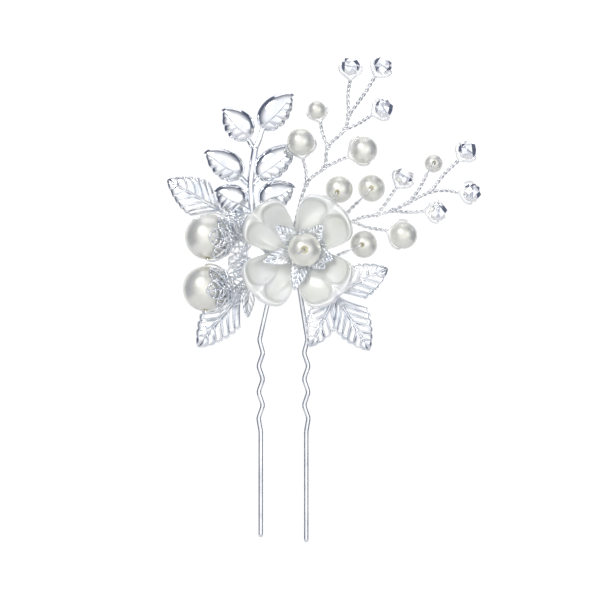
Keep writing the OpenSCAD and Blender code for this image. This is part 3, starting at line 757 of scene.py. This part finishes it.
def pierced_leaf(mesh, to, l, w, r, bow, cells):
    """Leaf pierced between its ribs, with a scalloped rim, for a subdivided sheet; returns its surface."""
    across = [0.0, 0.07, 0.17, 0.42, 0.66, 0.80, 1.0]
    along = [0.0, 0.2, 0.38, 0.66, 0.84]
    p_at = [(c + a) / cells for c in range(cells) for a in along] + [1.0]
    v_at = [-v for v in reversed(across[1:])] + across

    def edge(p, v):
        return 0.93 + 0.17 * abs(math.sin(math.pi * p * cells)) * step_up((abs(v) - 0.6) * 2.5)

    def puff(p, v, y):
        return 0.5 * abs(math.sin(math.pi * p * cells)) * (1 - abs(v) ** 3) * min(1.0, abs(y) / 0.5)

    at = leaf_surface(l, w, r, bow, edge, puff)

    def hole(i, j):
        cell, part = divmod(i, len(along))
        inner = min(abs(v_at[j]), abs(v_at[j + 1]))
        outer = max(abs(v_at[j]), abs(v_at[j + 1]))
        return part in (2, 3) and inner >= 0.16 and outer <= 0.81 and 0 < cell < cells - 1

    mesh.grid([[to(at(p, v)) for v in v_at] for p in p_at], hole=hole)
    return at


def lace_leaf(mesh, to, l, w, pairs, r):
    """Leaf of bent wire: a pointed loop, a midrib, slanting side wires and a grain on each joint."""
    loop = []
    for t in np.linspace(0, 2 * math.pi, 44):
        x = l / 2 * (1 - math.cos(t))
        loop.append(to(vec(x, w / 2 * math.sin(t) * (1 + 0.2 * math.cos(t)), 0.1 * math.sin(pairs * t))))
    tube(mesh, np.array(loop), r, 8)
    midrib = [to(vec(x, 0, 0.22)) for x in np.linspace(0, l * 0.97, 10)]
    tube(mesh, np.array(midrib), np.linspace(r * 1.3, r * 0.8, 10), 8)
    grain(mesh, to(vec(l, 0, 0.05)), r * 1.6)
    for k in range(pairs):
        x = l * (0.12 + 0.68 * k / pairs)
        end = x + l * 0.17
        t = math.acos(max(-1.0, min(1.0, 1 - 2 * end / l)))
        y = w / 2 * math.sin(t) * (1 + 0.2 * math.cos(t))
        for side in (-1, 1):
            line = [
                to(vec(x + (end - x) * q, side * y * q, 0.12 + 0.3 * math.sin(math.pi * q)))
                for q in np.linspace(0, 1, 7)
            ]
            tube(mesh, np.array(line), r * 0.72, 8)
            grain(mesh, to(vec(end, side * y, 0.1)), r * 1.35)


def on_ball(middle, out, r, azimuth):
    """Turns (along, across, lift) into points on a ball: along runs from direction out towards an azimuth."""
    x = square_to([0, 0, 1], out)
    y = np.cross(out, x)
    away = x * math.cos(azimuth) + y * math.sin(azimuth)
    side = np.cross(out, away)

    def at(p):
        a, b = p[0] / r, p[1] / r
        return middle + (r + p[2]) * (math.cos(b) * (out * math.cos(a) + away * math.sin(a)) + math.sin(b) * side)

    return at


def rod(mesh, a, b, r):
    tube(mesh, np.array([a, (a + b) / 2, b]), r, 10)


def grain(mesh, at, r):
    """Small melted grain of silver."""
    rows = []
    for i in range(1, 6):
        a = math.pi * i / 6
        rows.append([
            at + r * vec(math.sin(a) * math.cos(b), math.cos(a), math.sin(a) * math.sin(b))
            for b in np.linspace(0, 2 * math.pi, 10, endpoint=False)
        ])
    mesh.grid(rows, closed=True)
    mesh.cap_ends(5, 10)


# little leaves round the centre pearl
m, veins = Mesh(), Mesh()
hub = FLOWER_HOLE + FRONT * 0.85
STAMEN_LEAVES = (  # angle, reach and rise of each tip
    (54, 6.6, 3.3), (140, 8.2, 3.4), (196, 9.4, 3.2),
    (256, 9.0, 2.6), (318, 6.0, 2.6), (342, 6.6, 3.4),
)
for a, reach, rise in STAMEN_LEAVES:
    e = vec(math.cos(math.radians(a)), 0, math.sin(math.radians(a)))
    tip = hub + e * reach + FRONT * rise
    to = place(hub + e * 1.6, tip)
    at = stamped_leaf(m, to, np.linalg.norm(tip - hub - e * 1.6), 3.5, 12, -1, 5, 0.25)
    ribs(veins, to, at, 5, 0.13)
piece = m.build("stamen_leaves", "base", ["stamen_leaf_cap"], [LEAF_METAL], "silver_sheet")
add_modifiers(piece, 0.22)
veins.build("stamen_leaf_ribs", "base", [], [LEAF_METAL], "silver_sheet")

# seat ring and its collar of grains under the centre pearl
centre, _ = pivot("centre_pearl")
seat = sum(box_mm("pearl_seat_ring")) / 2
m = Mesh()
ring = np.array([seat + 2.6 * vec(math.cos(a), 0, math.sin(a)) for a in np.linspace(0, 2 * math.pi, 60)])
tube(m, ring, 0.34, 10)
for count, r, lift, size in ((18, 3.0, 0.1, 0.3), (24, 3.9, 0.35, 0.3), (28, 4.5, 0.1, 0.26)):
    for k in range(count):
        a = 2 * math.pi * (k + 0.3 * lift) / count
        grain(m, seat + (r + 0.2 * math.sin(6 * a)) * vec(math.cos(a), 0, math.sin(a)) + FRONT * lift, size)
for k in range(14):
    a = 2 * math.pi * k / 14
    e = vec(math.cos(a), 0, math.sin(a))
    rod(m, seat + 2.6 * e, seat + 4.4 * e + FRONT * 0.1, 0.13)
m.build("seat_ring_grains", "base", ["pearl_seat_ring"], [LEAF_METAL], "silver_sheet")

# wire that holds the centre pearl
m = Mesh()
front_end = centre + FRONT * 4.1
corners = [vec(2.45, -0.8, 18.6), FLOWER_HOLE + vec(0, 1.6, 0), front_end, front_end + vec(-1.3, -0.3, -0.9)]
tube(m, resample(rounded(corners, 0.3, 0.08), 0.15)[0], STRAND_R, 10)
m.build("centre_wire_bent", "base", ["centre_wire"], [DARK_METAL], "beading_wire")

# ---------------------------------------------------------------- leaves


def leaf(name, leaflets, r, bow, pierced, stalk, stalk_r):
    """Leaf sheets with raised ribs and one stalk; a leaflet is its base, tip, width, teeth and facing."""
    sheet_mesh, rib_mesh = Mesh(), Mesh()
    for base, tip, wide, teeth, face in leaflets:
        to = place(base, tip, face)
        l = np.linalg.norm(tip - base)
        if pierced:
            at = pierced_leaf(sheet_mesh, to, l, wide, r, bow, teeth)
        else:
            at = stamped_leaf(sheet_mesh, to, l, wide, r, bow, teeth, 0.3 * wide / 8)
        ribs(rib_mesh, to, at, teeth, 0.2 * min(1.0, wide / 7))
    rod(rib_mesh, *stalk, stalk_r)
    sheet = sheet_mesh.build(name + "_sheet", "base", [name], [LEAF_METAL], "silver_sheet")
    add_modifiers(sheet, 0.4, 2 if pierced else 0)
    rib_mesh.build(name + "_ribs", "base", [], [LEAF_METAL], "silver_sheet")


leaflets = [(vec(-13.5, 0.5, 28.2), vec(-25.4, -0.8, 35.1), 8.0, 6, FRONT)]
leaf("leaf_upper_left", leaflets, 16, -1, False, vecs((-14.1, 0.5, 28.5), (-2.05, 0.1, 19.2)), 0.4)

leaflets = [(vec(-8.9, 0.8, 11.0), vec(-18.8, 0.4, -1.5), 8.6, 6, FRONT)]
leaf("leaf_lower_left", leaflets, 20, -1, True, vecs((-9.3, 0.8, 10.5), (-2.9, -1.4, 13.2)), 0.4)

leaflets = [(vec(-7.0, -3.4, 12.0), vec(-7.9, -3.9, 4.9), 2.6, 4, unit([0.35, -1, 0]))]
leaf("leaf_narrow_left", leaflets, 9, 1, False, vecs((-7.0, -3.4, 11.6), (-3.1, -1.6, 12.2)), 0.35)

hub = vec(11.3, -1.8, 10.3)
leaflets = [
    (hub, vec(22.8, -2.6, 15.7), 7.2, 5, FRONT),
    (hub, vec(18.8, -2.2, -2.2), 8.0, 6, unit([-0.1, -1, 0.1])),
    (hub, vec(5.8, -2.2, -1.4), 6.8, 5, unit([0.15, -1, 0])),
]
leaf("leaf_trio_right", leaflets, 20, -1, True, [hub, vec(3.6, -1.5, 12.6)], 0.5)

# ---------------------------------------------------------------- cast branch

TRUNK = vecs((-0.9, -1.5, 21.2), (-5.0, -1.9, 23.6), (-6.6, -1.9, 27.6), (-7.2, -2.0, 34.5), (-6.2, -2.0, 42.0))
BUDS = (  # where each bud leaves the trunk, its root and its tip, from the top down, left then right
    vecs((-6.2, -2.0, 42.0), (-7.6, -1.7, 43.9), (-13.3, -2.4, 50.8)),
    vecs((-6.2, -2.0, 42.0), (-4.6, -1.6, 46.2), (2.1, -2.2, 54.1)),
    vecs((-7.15, -2.0, 34.0), (-9.2, -1.7, 35.6), (-17.3, -2.4, 41.4)),
    vecs((-7.15, -2.0, 34.0), (-5.6, -1.6, 35.4), (2.7, -1.4, 42.6)),
    vecs((-6.6, -1.95, 28.0), (-8.6, -1.7, 29.0), (-15.1, -1.7, 33.0)),
    vecs((-6.6, -1.95, 28.0), (-5.0, -1.6, 29.4), (2.5, -1.7, 33.9)),
)


def bud(mesh, root, tip, upper):
    """Cast bud: a kernel with slanting ribs, and a smooth hood that wraps its upper side and hooks at the tip."""
    l = np.linalg.norm(tip - root)
    to = place(root, tip, unit([upper * 0.1, -1, 0.1]))
    rows = []
    for i in range(61):
        u = 0.02 + 0.9 * i / 60
        rho = 2.7 * max(0.0, math.sin(math.pi * (u / 0.94) ** 0.85)) ** 0.62 + 0.08
        row = []
        for j in range(48):
            phi = 2 * math.pi * j / 48
            rib = 0.2 * (abs(math.sin(math.pi * (u * 5.2 + 0.35 * math.cos(phi) * upper))) ** 0.5 - 0.6)
            rad = rho * (1 + rib * 0.9)
            row.append(to(vec(u * l, rad * math.cos(phi), -0.1 + 0.5 * rad * math.sin(phi))))
        rows.append(row)
    mesh.grid(rows, closed=True)
    mesh.cap_ends(61, 48)
    hood(mesh, to, l, upper)


def hood(mesh, to, l, upper):
    """Smooth closed crescent that lies over the upper side of a bud."""
    rows = []
    for i in range(49):
        u = i / 48
        rho = 3.1 * max(0.0, math.sin(math.pi * u**0.8)) ** 0.5 + 0.1
        thick = 0.16 + 0.42 * math.sin(math.pi * u) ** 0.5
        hook = 1.0 * u**3
        row = []
        lip = 0.34 + 0.30 * math.sin(math.pi * u)
        for j in range(32):
            v = 2 * math.pi * j / 32
            across, up = math.cos(v), math.sin(v)
            angle = -0.2 + 1.75 * (0.5 + 0.5 * across)
            swell = thick * up * (1 - 0.3 * across)
            rad = rho + swell
            y = rad * math.cos(angle * (0.75 + lip * 0.5)) - hook * 0.6
            z = 0.56 * rad * math.sin(angle * (0.75 + lip * 0.5)) + 0.25
            row.append(to(vec(u * l, upper * y, z)))
        rows.append(row)
    mesh.grid(rows, closed=True)
    mesh.cap_ends(49, 32)


m = Mesh()
for i, (_, root, tip) in enumerate(BUDS):
    bud(m, root, tip, -1 if i % 2 == 0 else 1)
m.build("branch_buds", "base", ["leaf_branch"], [CAST_METAL], "cast_silver")

m = Mesh()
trunk = smooth_curve(TRUNK, 0.3)
tube(m, trunk, np.linspace(0.95, 0.8, len(trunk)), 16)
for fork, root, tip in BUDS:
    bend = smooth_curve([fork, (fork + root) / 2 + vec(0, 0, -0.25), root, root + (tip - root) * 0.16], 0.25)
    tube(m, bend, np.linspace(0.72, 0.52, len(bend)), 12)
m.build("branch_stem", "base", [], [CAST_METAL], "cast_silver")

# ---------------------------------------------------------------- large pearls: caps and wires


def scroll(mesh, at, size, turns, face, up, r):
    """Small spiral of wire."""
    y = np.cross(face, up)
    path = []
    for t in np.linspace(0.12, 1, int(26 * turns)):
        a = 2 * math.pi * turns * t
        path.append(at + size * t * (up * math.cos(a) + y * math.sin(a)) + face * 0.25 * t)
    tube(mesh, np.array(path), r, 8)


def lace_cap(mesh, middle, out, r, reach, petals, turn):
    """Filigree cap: wire petals bent over a ball, with a collar of grains round its middle."""
    for k in range(petals):
        azimuth = turn + 2 * math.pi * k / petals
        to = on_ball(middle, out, r, azimuth)
        lace_leaf(mesh, lambda p: to(vec(p[0] + 1.0, p[1], p[2])), reach - 1.0, 4.2, 3, 0.21)
        small = on_ball(middle, out, r + 0.45, azimuth + math.pi / petals)
        lace_leaf(mesh, lambda p: small(vec(p[0] + 0.9, p[1], p[2])), reach * 0.5, 2.1, 1, 0.17)
        grain(mesh, small(vec(0.9, 0, 0.1)), 0.36)
    grain(mesh, middle + out * (r + 0.4), 0.62)


for which, turn, tilt in (("upper", 0.2, -0.12), ("lower", 0.55, 0.1)):
    middle, bore = pivot(f"large_pearl_{which}")
    m = Mesh()
    lace_cap(m, middle, unit([0.86, -0.5, tilt]), 5.5, 5.2, 5, turn)
    m.build(f"cap_openwork_{which}", "base", [f"bead_cap_{which}"], [LEAF_METAL], "silver_sheet")
    m = Mesh()
    bead_loop(m, middle, LARGE_PEARL_R, vec(-1, 0, 0), bore, 0.45, 2.4)
    end = vec(-1.6, -1.3, 18.0) if which == "upper" else vec(-2.4, -1.3, 14.9)
    far = middle + vec(7.4, 0, 0)
    twisted(m, smooth_curve([far, (far + end) / 2 + vec(0, -0.3, 0.2), end], 0.3), start=1.0)
    for k in range(5):
        neck(m, far + vec(0.3 + 0.42 * k, 0.1 * k, 0), 0.55 + 0.1 * (k % 2), 0.8 * k)
    m.build(f"large_wire_{which}", "base", [f"large_pearl_wire_{which}"], [WIRE_METAL], "beading_wire")

m = Mesh()
c = vec(-9.8, -2.9, 25.8)
lace_cap(m, c + vec(0, 4.6, 0), FRONT, 4.7, 3.6, 5, 0.3)
m.build("filigree_flower", "base", ["filigree_left"], [LEAF_METAL], "silver_sheet")

# wire leaves and scrolls that fill the gap between the large pearls and the flower
m = Mesh()
WIRE_LEAVES = (  # base, tip and width
    ((-8.2, -2.6, 22.6), (-12.6, -4.4, 25.4), 3.0),
    ((-8.0, -2.8, 20.6), (-12.4, -5.0, 20.2), 2.8),
    ((-8.4, -2.6, 18.4), (-11.8, -4.8, 16.4), 2.8),
    ((-8.2, -2.6, 16.0), (-12.2, -4.6, 14.4), 3.0),
    ((-8.0, -2.6, 13.8), (-11.6, -4.4, 10.6), 3.0),
    ((-8.6, -3.2, 17.2), (-5.4, -3.6, 13.4), 2.6),
    ((-9.0, -3.0, 19.6), (-7.6, -3.8, 23.6), 2.6),
    ((-9.2, -2.4, 12.0), (-10.6, -3.4, 7.8), 2.8),
)
SCROLLS = (  # middle, size, turns and starting angle
    ((-10.8, -3.4, 22.2), 1.3, 1.6, 0.4),
    ((-9.4, -3.4, 18.4), 1.2, 1.5, 2.0),
    ((-11.2, -3.6, 17.8), 1.1, 1.4, 3.6),
    ((-7.4, -3.0, 21.6), 1.1, 1.5, 5.0),
    ((-9.8, -3.6, 14.8), 1.2, 1.4, 1.2),
    ((-9.6, -3.2, 11.0), 1.1, 1.4, 2.6),
)
for base, tip, wide in WIRE_LEAVES:
    base, tip = vecs(base, tip)
    lace_leaf(m, place(base, tip), np.linalg.norm(tip - base), wide, 3, 0.19)
for at, size, turns, a in SCROLLS:
    scroll(m, vec(*at), size, turns, FRONT, vec(math.cos(a), 0, math.sin(a)), 0.17)
    grain(m, vec(*at) + FRONT * 0.3, 0.36)
rod(m, vec(-9.8, -2.8, 25.7), vec(-1.7, -1.3, 16.6), 0.2)
spine = vecs((-9.2, -2.2, 25.0), (-8.0, -2.4, 20.0), (-8.4, -2.4, 15.0), (-9.2, -2.2, 11.0))
tube(m, smooth_curve(spine, 0.3), 0.28, 10)
rod(m, vec(-8.0, -2.4, 18.0), vec(-2.0, -1.4, 17.0), 0.25)
m.build("filigree_wires", "base", [], [LEAF_METAL], "silver_sheet")

# ---------------------------------------------------------------- stage, light, camera

FLOOR_DROP = 36  # keeps the floor out of the main picture, which shows none
floor_z = cad_box[0][2] / MM - FLOOR_DROP
m = Mesh()
around = np.linspace(0, 2 * math.pi, 64, endpoint=False)
m.grid([[vec(r * math.cos(a), r * math.sin(a), floor_z) for a in around] for r in (1, 200)], closed=True)
m.faces.append(tuple(range(64)))
m.kinds.append(0)
data = bpy.data.meshes.new("floor")
data.from_pydata([[c * MM for c in p] for p in m.points], [], m.faces)
floor_material, nodes, links, shader = new_material("floor_paper")
paper = object_noise(nodes, links, 40, 3)
tint = ramp(nodes, links, paper.outputs["Fac"], [(0.3, (0.95, 0.945, 0.93)), (0.7, (0.98, 0.975, 0.96))])
links.new(tint.outputs["Color"], shader.inputs["Base Color"])
shader.inputs["Roughness"].default_value = 0.9
data.materials.append(floor_material)
floor = bpy.data.objects.new("floor", data)
bpy.context.scene.collection.objects.link(floor)

centre_of_view = Vector((3.63 * MM, 0, 8.8 * MM))


def area(name, place_at, size, watts, colour=(1, 1, 1)):
    """Square soft box, in metres, turned to the pin."""
    light = bpy.data.lights.new(name, "AREA")
    light.shape = "RECTANGLE"
    light.size = light.size_y = size
    light.energy = watts
    light.color = colour
    obj = bpy.data.objects.new(name, light)
    obj.location = place_at
    obj.rotation_euler = (centre_of_view - Vector(place_at)).to_track_quat("-Z", "Y").to_euler()
    bpy.context.scene.collection.objects.link(obj)


area("key", (-0.35, -0.55, 0.45), 0.22, 1.7, (1.0, 0.99, 0.97))
area("fill", (0.45, -0.6, 0.10), 0.4, 0.35, (0.96, 0.98, 1.0))
area("top", (0.0, 0.05, 0.75), 0.60, 1.3)
area("back", (0.1, 0.8, 0.30), 0.60, 0.5)

world = bpy.data.worlds.new("studio")
bpy.context.scene.world = world
world.use_nodes = True
nodes, links = world.node_tree.nodes, world.node_tree.links
nodes.clear()
out = nodes.new("ShaderNodeOutputWorld")
white = nodes.new("ShaderNodeBackground")
white.inputs["Color"].default_value = (1, 1, 1, 1)
white.inputs["Strength"].default_value = 1.05
room = nodes.new("ShaderNodeBackground")
where = nodes.new("ShaderNodeTexCoord")
split = nodes.new("ShaderNodeSeparateXYZ")
links.new(where.outputs["Generated"], split.inputs["Vector"])
depth = nodes.new("ShaderNodeMapRange")
depth.inputs["From Min"].default_value = -1.0
depth.inputs["From Max"].default_value = 1.0
links.new(split.outputs["Y"], depth.inputs["Value"])
ROOM = [  # what the metal and the pearls reflect, from the front (0, -Y) to the back (1, +Y)
    (0.0, (1.0, 1.0, 1.0)),
    (0.07, (0.95, 0.95, 0.96)),
    (0.18, (0.42, 0.43, 0.46)),
    (0.33, (0.08, 0.09, 0.13)),
    (0.73, (0.11, 0.13, 0.19)),
    (0.84, (0.92, 0.92, 0.94)),
]
walls = ramp(nodes, links, depth.outputs["Result"], ROOM)
links.new(walls.outputs["Color"], room.inputs["Color"])
room.inputs["Strength"].default_value = 1.18
path = nodes.new("ShaderNodeLightPath")
mix = nodes.new("ShaderNodeMixShader")
links.new(path.outputs["Is Camera Ray"], mix.inputs["Fac"])
links.new(room.outputs["Background"], mix.inputs[1])
links.new(white.outputs["Background"], mix.inputs[2])
links.new(mix.outputs["Shader"], out.inputs["Surface"])

camera = bpy.data.cameras.new("camera")
camera.lens = 200
camera.sensor_width = 36
camera.clip_start = 0.01
camera.clip_end = 20
eye = bpy.data.objects.new("camera", camera)
eye.location = (centre_of_view.x, -0.733, centre_of_view.z)
eye.rotation_euler = (math.radians(90), 0, 0)
bpy.context.scene.collection.objects.link(eye)
bpy.context.scene.camera = eye
bpy.context.scene.view_settings.view_transform = "Standard"
